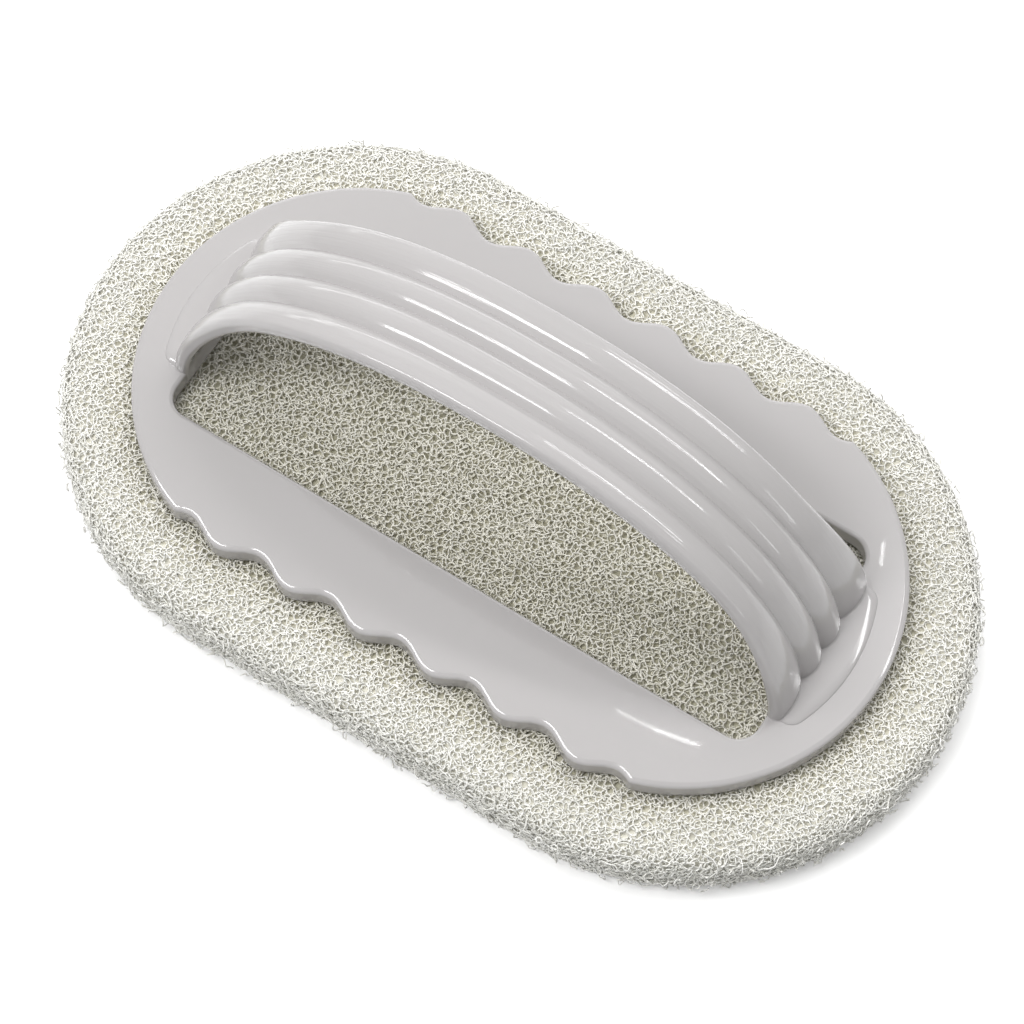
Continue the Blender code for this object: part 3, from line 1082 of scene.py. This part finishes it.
def shadeSheetShape(material):
    # A dark sheet under the fibres that stands in for the shade deep in the web as painted shade, in rings
    # small enough for a smooth change of color
    inset, cell = web["shadeSheetDepth"], web["shadeSheetCell"]
    radius = web["edgeRadius"] - inset
    low, high = padLow.z + inset, padHigh.z - inset
    halfWidth = padHigh.y - inset
    inward = [(step * cell, 0.0) for step in range(int(halfWidth / cell) - 1, 0, -1)]
    inward = [(step, rise) for step, rise in inward if step > radius]
    turns = quarterTurn(4)
    edge = [(radius * (1 - math.sin(angle)), radius * (1 - math.cos(angle))) for angle in turns]
    levels = [(step, low + rise) for step, rise in inward + edge]
    levels += [(step, high - rise) for step, rise in (inward + edge)[::-1]]
    bm = bmesh.new()
    bottom, top = addRings(bm, stadium(padHigh.x - inset, halfWidth, web["roundSteps"]), levels)
    bm.faces.new(bottom[::-1])
    bm.faces.new(top)
    bmesh.ops.triangulate(bm, faces=bm.faces)
    layer = bm.loops.layers.uv.new("OFBake")
    span = web["paleFull"] - web["paleFrom"]
    step = web["shadeSheetStep"]
    tint, deepness = web["shadeSheetPlace"]
    for face in bm.faces:
        face.smooth = True
        for i, loop in enumerate(face.loops):
            spot = loop.vert.co
            # Painted paler near the pad's edge and all over the underside, as painted light
            fromSpine = math.hypot(max(abs(spot.x) - spineHalfLength, 0), spot.y)
            if spot.z < padHigh.z / 2:
                fromSpine = web["paleFull"]
            pale = 1 - web["paleShare"] * max(0, min(1, (fromSpine - web["paleFrom"]) / span))
            loop[layer].uv = (tint + step * (i == 1), deepness * pale + step * (i == 2))
    return addPiece("heart", bm, material)


buildPad()
print("fibre pad done")


# Hook tapes: a woven backing bonded under the plate, with rows of small hooks that hold the pad

tape = {
    "backingThickness": 0.55 * mm,
    "corner": 1.0 * mm,
    "edgeRadius": 0.12 * mm,
    "backingColor": (0.66, 0.65, 0.61),
    "threadColor": (0.76, 0.75, 0.71),
    "hookColor": (0.84, 0.83, 0.80),
    "roughness": 0.62,
    "roughnessSpread": 0.2,
    "weavePitch": 0.45 * mm,
    "weaveDepth": 0.05 * mm,
    "weaveShare": 0.7,
    "fuzzScale": 2.5 / mm,
    "backingMargin": 0.02 * mm,
    "sharpAngle": 50.0,
    "hookRoot": 0.1 * mm,
    "hookHandleShares": (1.15, 1.3),
    "hookTipShare": 0.45,
    "hookLean": 0.35,
    "sizes": {
        "Hook Spacing": 1.3 * mm,
        "Hook Reach": 0.35 * mm,
        "Hook Thickness": 0.16 * mm,
        "Edge Margin": 0.7 * mm,
    },
}


def tapeTree(material, seed):
    names = (*tape["sizes"], "Length", "Width", "Middle X", "Middle Y", "Backing Bottom", "Hook Height")
    make, entry = startTree("hookRows", names)

    def size(name):
        return make.other(entry, name)

    # One hook: a stem that bends over at its tip, a three-sided tube with closed ends
    reach, height = size("Hook Reach"), size("Hook Height")
    up, over = tape["hookHandleShares"]
    stem = make.node(
        "GeometryNodeCurvePrimitiveBezierSegment", None,
        {"Resolution": 5, "Start": make.combined(z=tape["hookRoot"]),
         "Start Handle": make.combined(z=height * -up),
         "End Handle": make.combined(reach, z=height * -over),
         "End": make.combined(reach, z=height * -tape["hookTipShare"])},
    )
    profile = make.node(
        "GeometryNodeCurvePrimitiveCircle", None, {"Resolution": 3, "Radius": size("Hook Thickness") / 2}
    )
    hook = make.node(
        "GeometryNodeCurveToMesh", None, {"Curve": stem, "Profile Curve": profile, "Fill Caps": True}
    )

    # Even rows over the backing, every other row turned the other way
    long, wide = size("Length") - size("Edge Margin") * 2, size("Width") - size("Edge Margin") * 2
    along, across = long / size("Hook Spacing"), wide / size("Hook Spacing")
    rows = make.node(
        "GeometryNodeMeshGrid", None,
        {"Size X": long, "Size Y": wide, "Vertices X": along, "Vertices Y": across},
    )
    middle = make.combined(size("Middle X"), size("Middle Y"), size("Backing Bottom"))
    rows = make.node("GeometryNodeTransform", None, {"Geometry": rows, "Translation": middle})
    index = make.node("GeometryNodeInputIndex")
    most = tape["hookLean"]
    turn = make.combined(z=index.modulo(2.0) * math.pi + make.chance(-most, most, index, seed))
    hooks = make.node(
        "GeometryNodeInstanceOnPoints", None, {"Points": rows, "Instance": hook, "Rotation": turn}
    )
    joined = make.node("GeometryNodeJoinGeometry", None, {"Geometry": hooks})
    make.feed(joined.socket.node.inputs["Geometry"], entry)
    return finishTree(make, joined, material)


def hookFabric(backingBottom):
    material, make, inputs = startMaterial("hookFabric")
    place = make.node("ShaderNodeTexCoord", out="Object")
    x, y, z = make.parts(place)
    turn = 2 * math.pi / tape["weavePitch"]
    weave = ((x * turn).sine() * (y * turn).sine() + 1) * 0.5
    fuzz = make.noise(place, tape["fuzzScale"])
    factor = weave * tape["weaveShare"] + fuzz * (1 - tape["weaveShare"])
    thread = make.mixed(factor, (*tape["backingColor"], 1.0), (*tape["threadColor"], 1.0))
    onBacking = z.over(backingBottom - tape["backingMargin"])
    make.feed(inputs["Base Color"], make.mixed(onBacking, (*tape["hookColor"], 1.0), thread))
    make.feed(inputs["Roughness"], tape["roughness"] + (onBacking + fuzz - 1) * tape["roughnessSpread"])
    bump = make.node("ShaderNodeBump", None, {"Height": weave * onBacking, "Distance": tape["weaveDepth"]})
    make.feed(inputs["Normal"], bump)
    return material


def buildTapes():
    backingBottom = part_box(tapeNames[0])[1].z - tape["backingThickness"]
    material = hookFabric(backingBottom)
    cornerSteps, edgeSteps = 8, 3
    for seed, name in enumerate(tapeNames):
        low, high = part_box(name)
        middle, half = (low + high) / 2, (high - low) / 2
        outline = roundedRectangle(half.x, half.y, tape["corner"], cornerSteps)
        outline = [Vector((point.x + middle.x, point.y + middle.y)) for point in outline]
        bm = slab(outline, backingBottom, high.z, tape["edgeRadius"], tape["edgeRadius"], edgeSteps)
        first, *others = name.split("_")
        piece = addPiece(first + "".join(word.capitalize() for word in others), bm, material)
        sizes = {
            **tape["sizes"],
            "Length": 2 * half.x,
            "Width": 2 * half.y,
            "Middle X": middle.x,
            "Middle Y": middle.y,
            "Backing Bottom": backingBottom,
            "Hook Height": backingBottom - low.z,
        }
        growTree(piece, tapeTree(material, seed), sizes)
        piece.data.shade_smooth()
        piece.data.set_sharp_from_angle(angle=math.radians(tape["sharpAngle"]))
        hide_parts(name)
        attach(piece, "handle")


buildTapes()
print("hook tapes done")
